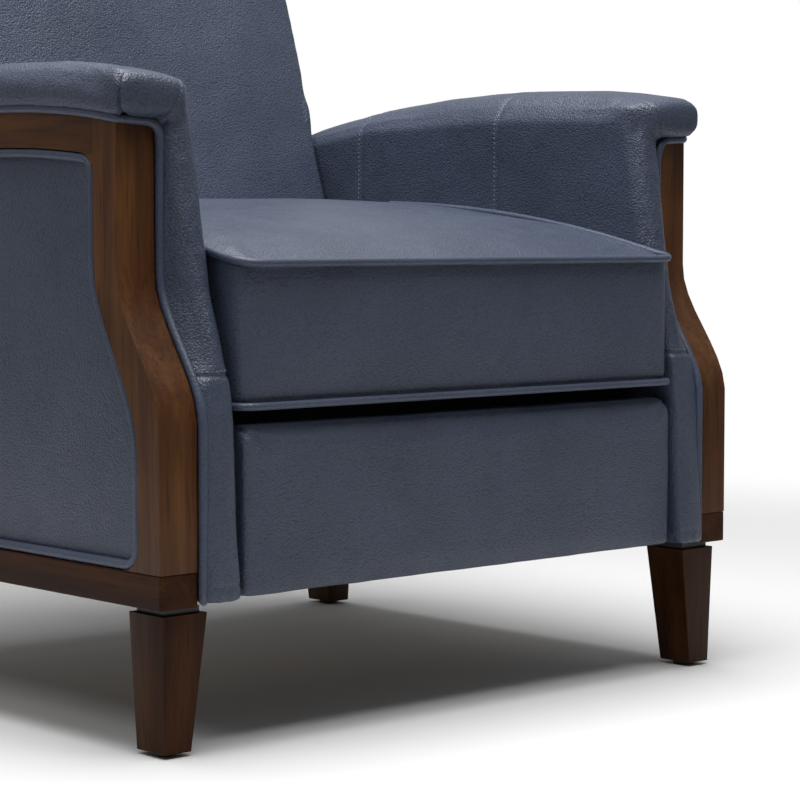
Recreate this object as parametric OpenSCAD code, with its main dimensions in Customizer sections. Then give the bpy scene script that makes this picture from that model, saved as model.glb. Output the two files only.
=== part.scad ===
// Push-back recliner armchair: wooden side frames, padded arms, sliding seat,
// reclining back and a footrest on a pair of lazy-tong links.
// Millimetres, +Z up, the sitter faces -Y, origin on the floor under the middle.

/* [Overall] */
// Width across the outer faces of the wooden side frames
frame_w = 740; // [640:1:840]
// Wooden side frame length, front post to rear post
frame_d = 645; // [560:1:720]
// Height of the top of the back above the floor
overall_h = 1040; // [940:1:1120]
// Clear width between the inner faces of the arms
inner_w = 572; // [480:1:620]

/* [Wooden side frame] */
// Thickness of the exposed wood, left to right
wood_t = 41; // [30:1:60]
// Underside of the bottom rail above the floor
rail_z = 132; // [100:1:160]
// Height of the bottom rail
rail_h = 31; // [22:1:50]
// How far the upper front post sets back behind the lower one
post_setback = 60; // [20:1:90]
// Depth of the front post near its foot
post_low_d = 32; // [24:1:50]
// Depth of the front post near its head
post_high_d = 35; // [24:1:60]
// Height at which the front face starts to sweep back
sweep_z0 = 290; // [240:1:330]
// Height at which the front face is upright again
sweep_z1 = 422; // [380:1:460]
// Height at which the rear edge of the post starts to sweep back
inner_sweep_z0 = 265; // [220:1:300]
// Height at which the rear edge of the post is upright again
inner_sweep_z1 = 430; // [380:1:470]
// Highest point of the top rail
arch_z = 568; // [520:1:620]
// Distance of that highest point from the front
arch_y = 250; // [150:1:350]
// Fall of the top rail towards the front
arch_front_drop = 14; // [4:1:30]
// Fall of the top rail towards the back
arch_rear_drop = 27; // [8:1:50]
// Depth of the top rail
top_rail_h = 33; // [24:1:50]
// Depth of the rear post
rear_post_d = 40; // [28:1:60]
// Corner radius where the posts meet the rails, panel side
panel_r = 22; // [6:1:40]

/* [Legs] */
// Leg size at the top, left to right
leg_top_w = 48; // [36:1:70]
// Leg size at the top, front to back
leg_top_d = 50; // [36:1:70]
// Leg size at the bottom, left to right
leg_low_w = 29; // [20:1:50]
// Leg size at the bottom, front to back
leg_low_d = 41; // [20:1:50]
// Thickness of the steel plate on top of each leg
leg_plate_t = 6; // [3:1:8]
// Thickness of the nylon glide under each leg
glide_t = 4; // [2:0.5:6]
// Radius of the nylon glide
glide_r = 11; // [8:0.5:13]

/* [Arms] */
// How far the cap stands proud of the upper post
arm_proud = 20; // [8:1:30]
// How far the padded arm front stands proud of the lower post
arm_low_proud = 14; // [6:1:24]
// How far the padded arm front stands proud where the post is upright again
arm_mid_proud = 33; // [20:1:45]
// Depth of the padded arm front
arm_front_d = 45; // [30:1:60]
// Thickness of the plywood arm core
core_t = 15; // [9:1:20]
// Underside of the inner arm pad
arm_pad_z = 264; // [200:1:290]
// Highest point of the arm cap
cap_z = 614; // [580:1:660]
// Distance of that highest point from the front
cap_y = 285; // [200:1:360]
// Fall of the cap towards the front
cap_front_drop = 12; // [4:1:30]
// Fall of the cap towards the back
cap_rear_drop = 42; // [10:1:60]
// How far the cap overhangs the wood at the side
cap_over = 9; // [2:1:20]
// Radius of the rounded front of the cap
cap_nose_r = 25; // [15:1:40]

/* [Seat] */
// Gap between a cushion and the arms, each side
side_gap = 3; // [2:0.5:10]
// Underside of the seat cushion
seat_z = 303; // [280:1:330]
// Height of the front edge of the seat cushion
seat_front_z = 432; // [400:1:460]
// Height of the seat cushion at the back
seat_back_z = 494; // [460:1:520]
// Seat cushion front, in front of the lower post face
seat_front_y = -5; // [-35:1:0]
// Fullness of the front roll of the seat
seat_roll = 2.4; // [1.5:0.1:4]
// Height of the wooden seat rails
seat_rail_h = 22; // [16:1:30]
// Width of the wooden seat rails
seat_rail_w = 24; // [18:1:40]

/* [Back] */
// Lean of the back from upright, in degrees
back_lean = 17.5; // [8:0.5:25]
// Where the back's front face crosses the seat, from the front
back_y = 538; // [480:1:560]
// Height of that crossing
back_z = 495; // [460:1:520]
// Depth of the padded front of the back
back_pad_t = 85; // [60:1:110]
// Depth of the wooden back frame
back_frame_t = 25; // [18:1:35]
// Depth of the padded outside back
back_shell_t = 25; // [10:1:40]
// Extra half width of the back above the arms
back_wing = 3; // [0:1:10]
// Radius of the upper corners of the back
back_corner_r = 55; // [20:1:90]
// Width of the wooden back stiles
stile_w = 24; // [18:1:40]

/* [Footrest and links] */
// Footrest panel front, in front of the lower post face
foot_front_y = -6; // [-40:1:0]
// Underside of the footrest panel
foot_z0 = 135; // [110:1:160]
// Top of the footrest panel
foot_z1 = 289; // [250:1:295]
// Thickness of the padded footrest panel
foot_pad_t = 30; // [20:1:60]
// Thickness of the plywood footrest board
foot_board_t = 15; // [9:1:18]
// Length of the swinging links between pivots
link_len = 200; // [160:1:240]
// Angle of the closed links below the level, in degrees
link_rest = 40; // [25:1:60]
// Distance between the two parallel link pivots
link_gap = 60; // [45:1:80]
// Fall from the first parallel pivot to the second, in degrees
link_gap_fall = 21; // [10:1:35]
// Thickness of every link
link_t = 4; // [3:0.5:6]
// Half width of every link
link_r = 9; // [7:0.5:12]
// Radius of the pivot pins
pin_r = 5; // [4:0.5:6]
// Radial running clearance of the pivot pins
pin_gap = 0.05; // [0.02:0.01:0.1]
// Radius of the torque tube
tube_r = 9; // [6:0.5:12]

/* [Slides] */
// Height of the slide channel
channel_h = 27; // [20:1:40]
// Sheet thickness of the slide channel
channel_t = 4; // [2:0.5:6]
// Height of the slide channel's lower edge
channel_z = 219; // [200:1:250]

/* [Hidden] */
$fn = 48;
eps = 0.5;
fine = 0.3;
rest_gap = 0.6;
steps = 24;
wood_rgb = [0.25, 0.15, 0.10];
inner_rgb = [0.72, 0.58, 0.40];
leather_rgb = [0.21, 0.23, 0.29];
steel_rgb = [0.14, 0.14, 0.15];
zinc_rgb = [0.62, 0.63, 0.65];
nylon_rgb = [0.08, 0.08, 0.08];
web_rgb = [0.30, 0.28, 0.26];

half_w = frame_w / 2;
wood_in = half_w - wood_t;
arm_in = inner_w / 2;
core_in = wood_in - core_t;
rail_top = rail_z + rail_h;
rear_y = frame_d - rear_post_d;
joint_y = post_setback + post_high_d;
cushion_hw = arm_in - side_gap;
leg_h = rail_z - leg_plate_t;
leg_in_x = half_w - 9 - leg_top_w;
leg_front_y = 8;
leg_rear_y = frame_d - leg_front_y - leg_top_d;
leg_low_x = half_w - 12 - leg_low_w;
leg_low_step = 3;

lean_s = sin(back_lean);
lean_c = cos(back_lean);
back_n = back_pad_t + back_frame_t + back_shell_t;
back_top = (overall_h - back_z + 28 * lean_s) / lean_c;
back_low = -130;
back_shell_top = back_top - 8;
wing_s = 150;
stile_low = -185;
stile_top = back_top - 40;
pivot_s = -165;
pivot_n = back_pad_t + back_frame_t / 2;
pivot_y = back_y + pivot_s * lean_s + pivot_n * lean_c;
pivot_z = back_z + pivot_s * lean_c - pivot_n * lean_s;
stile_out = 255;

back_rear_y = back_y + back_shell_top * lean_s + back_n * lean_c;
y_mid = (back_rear_y - arm_low_proud) / 2;

plate_x = 261;
plate_t = 4;
link_out_x = 254;
link_mid_x = 247;
link_in_x = 240;
seat_rail_z = seat_z - 3 - seat_rail_h;
seat_rail_y0 = 60;
seat_rail_y1 = 450;
strap_t = 3;

pa_y = 70;
pa_z = 262;
pa2_y = pa_y + link_gap * cos(link_gap_fall);
pa2_z = pa_z - link_gap * sin(link_gap_fall);
k_y = pa_y + link_len * cos(link_rest);
k_z = pa_z - link_len * sin(link_rest);
k2_y = k_y + pa2_y - pa_y;
k2_z = k_z + pa2_z - pa_z;
pc_y = 60;
pc_z = 208;
bore_r = pin_r + pin_gap;
runner_y0 = 150;
runner_y1 = 573;

function ease(t) = t <= 0 ? 0 : t >= 1 ? 1 : t * t * (3 - 2 * t);
function front_y(z) = post_setback * ease((z - sweep_z0) / (sweep_z1 - sweep_z0));
function post_back_y(z) = post_low_d
    + (joint_y - post_low_d) * ease((z - inner_sweep_z0) / (inner_sweep_z1 - inner_sweep_z0));
function pad_front_y(z) = let (t = ease((z - sweep_z0 + 25) / 150))
    (1 - t) * (0.055 * (z - foot_z0) - arm_low_proud) + t * (post_setback - arm_mid_proud + 0.185 * (z - 442));
function arch(y, peak_y, peak_z, front, rear) = peak_z
    - (y < peak_y ? front * pow((peak_y - y) / peak_y, 2)
                  : rear * pow((y - peak_y) / (frame_d - peak_y), 2));
function rail_top_z(y) = arch(y, arch_y, arch_z, arch_front_drop * 1.7, arch_rear_drop);
function rail_low_z(y) = rail_top_z(y) - top_rail_h;
function cap_top_z(y) = arch(y, cap_y, cap_z, cap_front_drop * 1.7, cap_rear_drop);
function seat_top_z(y) = seat_back_z - (seat_back_z - seat_front_z)
    * pow(max(0, 1 - (y - seat_front_y) / (back_y - seat_front_y)), seat_roll);
function span(a, b, i) = a + (b - a) * i / steps;

module place() {
    translate([0, -y_mid, 0])
        children();
}

module other_side() {
    mirror([1, 0, 0])
        children();
}

// Extrudes a side outline, drawn as front-back and up, from x0 to x1.
module side_slab(x0, x1) {
    translate([x0, 0, 0])
        rotate([90, 0, 90])
            linear_extrude(x1 - x0)
                children();
}

// Turns a front-back and up frame into the leaning frame of the back:
// x stays, y runs rearwards through the back, z runs up along it.
module leaning() {
    translate([0, back_y, back_z])
        rotate([-back_lean, 0, 0])
            children();
}

module disc_x(x0, x1, y, z, r) {
    translate([x0, y, z])
        rotate([0, 90, 0])
            cylinder(h = x1 - x0, r = r);
}

module bar_outline(y0, z0, y1, z1, r) {
    len = norm([y1 - y0, z1 - z0]);
    turn = atan2(z1 - z0, y1 - y0);
    translate([y0, z0])
        circle(r = r);
    translate([y1, z1])
        circle(r = r);
    translate([y0, z0])
        rotate(turn)
            translate([0, -r])
                square([len, 2 * r]);
}

module front_post() {
    z_top = rail_top_z(joint_y);
    side_slab(wood_in, half_w)
        polygon(concat(
            [for (i = [0:steps]) let (z = span(rail_top, rail_top_z(post_setback), i)) [front_y(z), z]],
            [[joint_y, z_top]],
            [for (i = [0:steps]) let (z = span(rail_low_z(joint_y) - panel_r, rail_top + panel_r, i))
                [post_back_y(z), z]],
            [for (a = [0:15:90]) [post_low_d + panel_r * (1 - cos(a)), rail_top + panel_r * (1 - sin(a))]]
        ));
}

module top_rail() {
    side_slab(wood_in, half_w)
        polygon(concat(
            [for (i = [0:steps]) let (y = span(joint_y, frame_d, i)) [y, rail_top_z(y)]],
            [for (i = [0:steps]) let (y = span(frame_d, joint_y + panel_r, i)) [y, rail_low_z(y)]],
            [for (a = [15:15:90]) [joint_y + panel_r * (1 - sin(a)),
                rail_low_z(joint_y + panel_r) - panel_r * (1 - cos(a))]],
            [[joint_y, rail_low_z(joint_y) - panel_r]]
        ));
}

module bottom_rail() {
    side_slab(wood_in, half_w)
        translate([0, rail_z])
            square([frame_d, rail_h]);
}

module rear_post() {
    side_slab(wood_in, half_w)
        polygon([
            [rear_y, rail_top],
            [frame_d, rail_top],
            [frame_d, rail_low_z(frame_d)],
            [rear_y, rail_low_z(rear_y)]
        ]);
}

module leg(y0, low_y0) {
    hull() {
        translate([leg_in_x, y0, leg_h - eps])
            cube([leg_top_w, leg_top_d, eps]);
        translate([leg_low_x, low_y0, glide_t])
            cube([leg_low_w, leg_low_d, eps]);
    }
}

module front_leg() {
    leg(leg_front_y, leg_front_y + leg_low_step);
}

module rear_leg() {
    leg(leg_rear_y, leg_rear_y + leg_top_d - leg_low_d - leg_low_step);
}

module leg_plate_pair(y0) {
    inset = 5;
    translate([leg_in_x + inset, y0 + inset, leg_h])
        cube([leg_top_w - 2 * inset, leg_top_d - 2 * inset, leg_plate_t]);
}

module glide(y0) {
    translate([leg_low_x + leg_low_w / 2, y0 + leg_low_d / 2, 0])
        cylinder(h = glide_t, r = glide_r);
}

module arm_core() {
    z0 = rail_top;
    y_in = post_setback + arm_front_d - arm_proud;
    side_slab(core_in, wood_in)
        polygon(concat(
            [for (i = [0:steps]) let (z = span(z0, rail_top_z(y_in), i))
                [front_y(z) - arm_proud + arm_front_d, z]],
            [for (i = [0:steps]) let (y = span(y_in, frame_d, i)) [y, rail_top_z(y)]],
            [[frame_d, z0]]
        ));
    side_slab(arm_in, core_in + eps)
        translate([post_setback, z0])
            square([rear_y - post_setback, arm_pad_z - z0]);
}

module arm_pad() {
    y_in = post_setback + arm_front_d - arm_proud;
    side_slab(arm_in, core_in)
        polygon(concat(
            [for (i = [0:steps]) let (z = span(arm_pad_z, rail_top_z(y_in), i))
                [front_y(z) - arm_proud + arm_front_d, z]],
            [for (i = [0:steps]) let (y = span(y_in, frame_d, i)) [y, rail_top_z(y)]],
            [[frame_d, arm_pad_z]]
        ));
}

module arm_front_pad() {
    low_z = foot_z0;
    y_out = post_setback - arm_proud;
    side_slab(arm_in + 1, wood_in)
        polygon(concat(
            [for (i = [0:steps]) let (z = span(low_z, rail_top_z(y_out), i)) [pad_front_y(z), z]],
            [for (i = [0:steps]) let (z = span(rail_top_z(y_out + arm_front_d), low_z, i))
                [front_y(z) - arm_proud + arm_front_d - rest_gap, z]]
        ));
}

module cap_slice(x0, x1, drop) {
    nose_y = post_setback - arm_proud + 1 + cap_nose_r + drop / 2;
    low_y = nose_y - cap_nose_r;
    side_slab(x0, x1)
        polygon(concat(
            [[low_y, rail_top_z(low_y) - 2]],
            [for (a = [0:15:90]) [nose_y - cap_nose_r * cos(a),
                cap_top_z(nose_y) - drop - cap_nose_r * (1 - sin(a))]],
            [for (i = [1:steps]) let (y = span(nose_y, frame_d, i)) [y, cap_top_z(y) - drop]],
            [[frame_d, rail_top_z(frame_d) - 2]]
        ));
}

module arm_cap() {
    x_in = arm_in + 1;
    x_out = half_w + cap_over;
    difference() {
        hull() {
            cap_slice(x_in, x_in + eps, 34);
            cap_slice(x_in + 4, x_in + 5, 18);
            cap_slice(x_in + 14, x_in + 15, 6);
            cap_slice(x_in + 34, x_out - 18, 0);
            cap_slice(x_out - 5, x_out - 4, 6);
            cap_slice(x_out - eps, x_out, 16);
        }
        side_slab(x_in - 5, x_out + 5)
            polygon(concat(
                [for (i = [0:steps]) let (y = span(0, frame_d + 5, i)) [y, rail_top_z(y) + rest_gap]],
                [[frame_d + 5, rail_z], [0, rail_z]]
            ));
    }
}

module side_panel() {
    edge = 5;
    side_slab(wood_in + edge, half_w - edge)
        polygon(concat(
            [for (i = [0:steps]) let (z = span(rail_low_z(joint_y) - panel_r, rail_top + panel_r, i))
                [post_back_y(z), z]],
            [for (a = [15:15:90]) [post_low_d + panel_r * (1 - cos(a)), rail_top + panel_r * (1 - sin(a))]],
            [[rear_y, rail_top]],
            [for (i = [0:steps]) let (y = span(rear_y, joint_y + panel_r, i)) [y, rail_low_z(y) - rest_gap]],
            [for (a = [15:15:75]) [joint_y + panel_r * (1 - sin(a)),
                rail_low_z(joint_y + panel_r) - rest_gap - panel_r * (1 - cos(a))]]
        ));
}

module cross_rail(y0) {
    cross_d = 40;
    step = 4;
    translate([-wood_in, y0, rail_z + step])
        cube([2 * wood_in, cross_d, rail_h - step]);
}

module slide_channel() {
    lip = 11;
    y0 = post_setback;
    len = rear_y - post_setback;
    side_slab(arm_in - channel_t, arm_in)
        translate([y0, channel_z])
            square([len, channel_h]);
    for (z = [channel_z, channel_z + channel_h - channel_t])
        side_slab(arm_in - channel_t - lip, arm_in - channel_t + eps)
            translate([y0, z])
                square([len, channel_t]);
}

module channel_screw_row() {
    head_r = 5;
    head_t = 2;
    pitch = 150;
    for (i = [0:3])
        disc_x(arm_in - channel_t - head_t, arm_in - channel_t,
            post_setback + 40 + i * pitch, channel_z + channel_h / 2, head_r);
}

module seat_cushion_body() {
    nose_r = 8;
    gap = 4;
    face_y = back_y - gap;
    side_slab(-cushion_hw, cushion_hw)
        polygon(concat(
            [for (a = [0:15:90]) [seat_front_y + 6 * (1 - sin(a)), seat_z + 6 * (1 - cos(a))]],
            [for (a = [0:15:75]) [seat_front_y + nose_r * (1 - cos(a)),
                seat_front_z + 3 - nose_r * (1 - sin(a))]],
            [for (i = [1:steps]) let (y = span(seat_front_y + nose_r, face_y, i)) [y, seat_top_z(y)]],
            [[face_y - (seat_back_z - seat_z) * lean_s / lean_c, seat_z]]
        ));
}

module seat_side_rail() {
    translate([plate_x - seat_rail_w, seat_rail_y0, seat_rail_z])
        cube([seat_rail_w, seat_rail_y1 - seat_rail_y0, seat_rail_h]);
}

module seat_end_rail(y0) {
    translate([seat_rail_w - plate_x, y0, seat_rail_z])
        cube([2 * (plate_x - seat_rail_w), seat_rail_w, seat_rail_h]);
}

module side_plate() {
    top_z = seat_z - 1;
    low_z = channel_z + 4;
    ear_r = 16;
    difference() {
        side_slab(plate_x, plate_x + plate_t)
            polygon(concat(
                [
                    [pa_y - 14, pa_z - 14],
                    [pa_y - 14, top_z],
                    [pivot_y - 34, top_z]
                ],
                [for (a = [160:-20:-40]) [pivot_y + ear_r * cos(a), pivot_z + ear_r * sin(a)]],
                [
                    [runner_y1, low_z],
                    [pa2_y - 6, low_z]
                ]
            ));
        disc_x(plate_x - 1, plate_x + plate_t + 1, pa_y, pa_z, bore_r);
        disc_x(plate_x - 1, plate_x + plate_t + 1, pa2_y, pa2_z, bore_r);
        disc_x(plate_x - 1, plate_x + plate_t + 1, pivot_y, pivot_z, bore_r);
    }
}

module slide_runner() {
    play = 1.5;
    side_slab(plate_x + plate_t, arm_in - channel_t - 5)
        translate([runner_y0, channel_z + channel_t + play])
            square([runner_y1 - runner_y0, channel_h - 2 * channel_t - 2 * play]);
}

module back_outline(low, top, wing) {
    r = back_corner_r;
    upper = cushion_hw + wing;
    polygon(concat(
        [[-cushion_hw, low], [cushion_hw, low], [cushion_hw, wing_s - 20], [upper, wing_s]],
        [for (a = [0:10:90]) [upper - r * (1 - cos(a)), top - r * (1 - sin(a))]],
        [for (a = [90:10:180]) [-upper + r * (1 + cos(a)), top - r * (1 - sin(a))]],
        [[-upper, wing_s], [-cushion_hw, wing_s - 20]]
    ));
}

module back_layer(n0, n1, low, top, wing) {
    leaning()
        translate([0, n1, 0])
            rotate([90, 0, 0])
                linear_extrude(n1 - n0)
                    back_outline(low, top, wing);
}

module back_pad_body() {
    round_r = 28;
    intersection() {
        back_layer(0, back_pad_t, back_low, back_top, back_wing);
        leaning()
            side_slab(-half_w, half_w)
                polygon(concat(
                    [[back_pad_t, back_low], [8, back_low], [0, back_low + 10]],
                    [for (a = [0:10:90]) [round_r * (1 - cos(a)), back_top - round_r * (1 - sin(a))]],
                    [[back_pad_t, back_top]]
                ));
    }
}

module back_stile() {
    leaning()
        translate([stile_out - stile_w, back_pad_t, stile_low])
            cube([stile_w, back_frame_t, stile_top - stile_low]);
}

module back_cross(s0) {
    cross_h = 45;
    leaning()
        translate([stile_w - stile_out, back_pad_t, s0])
            cube([2 * (stile_out - stile_w), back_frame_t, cross_h]);
}

module back_bracket() {
    leaf_h = 120;
    leaning()
        side_slab(stile_out, stile_out + link_t)
            translate([back_pad_t, stile_low])
                square([back_frame_t, leaf_h]);
    disc_x(stile_out + link_t - eps, plate_x - fine, pivot_y, pivot_z, pin_r + 3);
    disc_x(plate_x - 1, plate_x + plate_t + 3, pivot_y, pivot_z, pin_r);
}

module rear_link() {
    side_slab(link_out_x, link_out_x + link_t)
        difference() {
            bar_outline(pa_y, pa_z, k_y, k_z, link_r);
            translate([k_y, k_z])
                circle(r = bore_r);
        }
    disc_x(link_out_x + link_t - eps, plate_x - fine, pa_y, pa_z, pin_r + 3);
    disc_x(plate_x - 1, plate_x + plate_t + 3, pa_y, pa_z, pin_r);
}

module idler_link() {
    side_slab(link_in_x, link_in_x + link_t)
        bar_outline(pa2_y, pa2_z, k2_y, k2_z, link_r - 1);
    disc_x(link_in_x + link_t - eps, plate_x - fine, pa2_y, pa2_z, pin_r + 2);
    disc_x(plate_x - 1, plate_x + plate_t + 3, pa2_y, pa2_z, pin_r);
    disc_x(link_in_x + link_t - eps, link_mid_x - fine, k2_y, k2_z, pin_r + 2);
    disc_x(link_mid_x - 1, link_mid_x + link_t + 1, k2_y, k2_z, pin_r);
}

module front_link() {
    side_slab(link_mid_x, link_mid_x + link_t)
        difference() {
            bar_outline(pc_y, pc_z, k2_y, k2_z, link_r + 1);
            translate([k2_y, k2_z])
                circle(r = bore_r);
            translate([pc_y, pc_z])
                circle(r = bore_r);
        }
    disc_x(link_mid_x + link_t - eps, link_out_x - fine, k_y, k_z, pin_r + 2);
    disc_x(link_out_x - 1, link_out_x + link_t + 1, k_y, k_z, pin_r);
}

module foot_body() {
    round_r = 16;
    y1 = foot_front_y + foot_pad_t;
    side_slab(-cushion_hw + 2, cushion_hw - 2)
        polygon(concat(
            [[y1, foot_z0], [foot_front_y + 6, foot_z0], [foot_front_y + 1, foot_z0 + 6]],
            [for (a = [0:15:90]) [foot_front_y + round_r * (1 - cos(a)),
                foot_z1 - round_r * (1 - sin(a))]],
            [[y1, foot_z1]]
        ));
}

module foot_board_body() {
    inset = 8;
    side_inset = 12;
    y1 = foot_front_y + foot_pad_t;
    side_slab(-cushion_hw + side_inset, cushion_hw - side_inset)
        translate([y1, foot_z0 + inset])
            square([foot_board_t, foot_z1 - foot_z0 - 2 * inset]);
}

module foot_bracket() {
    y0 = foot_front_y + foot_pad_t + foot_board_t;
    tab_h = 64;
    tab_w = 26;
    tab_t = 3;
    side_slab(link_in_x, link_in_x + link_t)
        union() {
            bar_outline(y0 + link_r, pc_z, pc_y, pc_z, link_r);
            translate([y0, pc_z - tab_h / 2])
                square([tab_t, tab_h]);
            polygon([
                [y0, pc_z - tab_h / 2],
                [pc_y, pc_z - link_r],
                [pc_y, pc_z + link_r],
                [y0, pc_z + tab_h / 2]
            ]);
        }
    translate([link_in_x - tab_w, y0, pc_z - tab_h / 2])
        cube([tab_w + eps, tab_t, tab_h]);
    disc_x(link_in_x + link_t - eps, link_mid_x - fine, pc_y, pc_z, pin_r + 2);
    disc_x(link_mid_x - 1, link_mid_x + link_t + 1, pc_y, pc_z, pin_r);
}

module front_post_left() {
    color(wood_rgb) place() front_post();
}

module front_post_right() {
    color(wood_rgb) place() other_side() front_post();
}

module top_rail_left() {
    color(wood_rgb) place() top_rail();
}

module top_rail_right() {
    color(wood_rgb) place() other_side() top_rail();
}

module bottom_rail_left() {
    color(wood_rgb) place() bottom_rail();
}

module bottom_rail_right() {
    color(wood_rgb) place() other_side() bottom_rail();
}

module rear_post_left() {
    color(wood_rgb) place() rear_post();
}

module rear_post_right() {
    color(wood_rgb) place() other_side() rear_post();
}

module leg_front_left() {
    color(wood_rgb) place() front_leg();
}

module leg_front_right() {
    color(wood_rgb) place() other_side() front_leg();
}

module leg_rear_left() {
    color(wood_rgb) place() rear_leg();
}

module leg_rear_right() {
    color(wood_rgb) place() other_side() rear_leg();
}

module leg_plates() {
    color(steel_rgb) place() {
        for (side = [0, 1])
            mirror([side, 0, 0]) {
                leg_plate_pair(leg_front_y);
                leg_plate_pair(leg_rear_y);
            }
    }
}

module leg_glides() {
    color(nylon_rgb) place() {
        for (side = [0, 1])
            mirror([side, 0, 0]) {
                glide(leg_front_y + leg_low_step);
                glide(leg_rear_y + leg_top_d - leg_low_d - leg_low_step);
            }
    }
}

module arm_core_left() {
    color(inner_rgb) place() arm_core();
}

module arm_core_right() {
    color(inner_rgb) place() other_side() arm_core();
}

module arm_pad_left() {
    color(leather_rgb) place() arm_pad();
}

module arm_pad_right() {
    color(leather_rgb) place() other_side() arm_pad();
}

module arm_front_left() {
    color(leather_rgb) place() arm_front_pad();
}

module arm_front_right() {
    color(leather_rgb) place() other_side() arm_front_pad();
}

module arm_cap_left() {
    color(leather_rgb) place() arm_cap();
}

module arm_cap_right() {
    color(leather_rgb) place() other_side() arm_cap();
}

module side_panel_left() {
    color(leather_rgb) place() side_panel();
}

module side_panel_right() {
    color(leather_rgb) place() other_side() side_panel();
}

module cross_rail_middle() {
    color(inner_rgb) place() cross_rail(k2_y + link_r + 18);
}

module cross_rail_rear() {
    color(inner_rgb) place() cross_rail(rear_y - 5);
}

module slide_channel_left() {
    color(steel_rgb) place() slide_channel();
}

module slide_channel_right() {
    color(steel_rgb) place() other_side() slide_channel();
}

module channel_screws() {
    color(zinc_rgb) place() {
        for (side = [0, 1])
            mirror([side, 0, 0])
                channel_screw_row();
    }
}

module seat_cushion() {
    color(leather_rgb) place() seat_cushion_body();
}

module seat_rail_left() {
    color(inner_rgb) place() seat_side_rail();
}

module seat_rail_right() {
    color(inner_rgb) place() other_side() seat_side_rail();
}

module seat_rail_front() {
    color(inner_rgb) place() seat_end_rail(seat_rail_y0);
}

module seat_rail_rear() {
    color(inner_rgb) place() seat_end_rail(seat_rail_y1 - seat_rail_w);
}

module seat_webbing() {
    strap_w = 55;
    pitch = 84;
    color(web_rgb) place() {
        for (i = [-2:2])
            translate([i * pitch - strap_w / 2, seat_rail_y0, seat_z - strap_t])
                cube([strap_w, seat_rail_y1 - seat_rail_y0, strap_t]);
    }
}

module side_plate_left() {
    color(steel_rgb) place() side_plate();
}

module side_plate_right() {
    color(steel_rgb) place() other_side() side_plate();
}

module slide_runner_left() {
    color(zinc_rgb) place() slide_runner();
}

module slide_runner_right() {
    color(zinc_rgb) place() other_side() slide_runner();
}

module back_cushion() {
    color(leather_rgb) place() back_pad_body();
}

module back_shell() {
    rim_in = stile_out + 6;
    color(leather_rgb) place()
        difference() {
            back_layer(back_pad_t, back_n, back_low, back_shell_top, back_wing - 2);
            leaning()
                translate([-rim_in, back_pad_t - 1, back_low - 1])
                    cube([2 * rim_in, back_frame_t + 1, stile_top + 3 - back_low]);
        }
}

module back_stile_left() {
    color(inner_rgb) place() back_stile();
}

module back_stile_right() {
    color(inner_rgb) place() other_side() back_stile();
}

module back_rail_top() {
    color(inner_rgb) place() back_cross(stile_top - 45);
}

module back_rail_bottom() {
    color(inner_rgb) place() back_cross(back_low + 10);
}

module back_bracket_left() {
    color(steel_rgb) place() back_bracket();
}

module back_bracket_right() {
    color(steel_rgb) place() other_side() back_bracket();
}

module rear_link_left() {
    color(steel_rgb) place() rear_link();
}

module rear_link_right() {
    color(steel_rgb) place() other_side() rear_link();
}

module torque_tube() {
    color(steel_rgb) place() disc_x(-link_out_x, link_out_x, pa_y, pa_z, tube_r);
}

module idler_link_left() {
    color(steel_rgb) place() idler_link();
}

module idler_link_right() {
    color(steel_rgb) place() other_side() idler_link();
}

module front_link_left() {
    color(steel_rgb) place() front_link();
}

module front_link_right() {
    color(steel_rgb) place() other_side() front_link();
}

module link_tube() {
    color(steel_rgb) place() disc_x(-link_mid_x, link_mid_x, k_y, k_z, tube_r - 1);
}

module footrest_pad() {
    color(leather_rgb) place() foot_body();
}

module footrest_board() {
    color(inner_rgb) place() foot_board_body();
}

module footrest_brackets() {
    color(steel_rgb) place() {
        for (side = [0, 1])
            mirror([side, 0, 0])
                foot_bracket();
    }
}

front_post_left();
front_post_right();
top_rail_left();
top_rail_right();
bottom_rail_left();
bottom_rail_right();
rear_post_left();
rear_post_right();
leg_front_left();
leg_front_right();
leg_rear_left();
leg_rear_right();
leg_plates();
leg_glides();
arm_core_left();
arm_core_right();
arm_pad_left();
arm_pad_right();
arm_front_left();
arm_front_right();
arm_cap_left();
arm_cap_right();
side_panel_left();
side_panel_right();
cross_rail_middle();
cross_rail_rear();
slide_channel_left();
slide_channel_right();
channel_screws();
seat_cushion();
seat_rail_left();
seat_rail_right();
seat_rail_front();
seat_rail_rear();
seat_webbing();
side_plate_left();
side_plate_right();
slide_runner_left();
slide_runner_right();
back_cushion();
back_shell();
back_stile_left();
back_stile_right();
back_rail_top();
back_rail_bottom();
back_bracket_left();
back_bracket_right();
rear_link_left();
rear_link_right();
torque_tube();
idler_link_left();
idler_link_right();
front_link_left();
front_link_right();
link_tube();
footrest_pad();
footrest_board();
footrest_brackets();
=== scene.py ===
import bmesh
import bpy
import math
from mathutils import Matrix, Vector, noise
from mathutils.bvhtree import BVHTree


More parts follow.
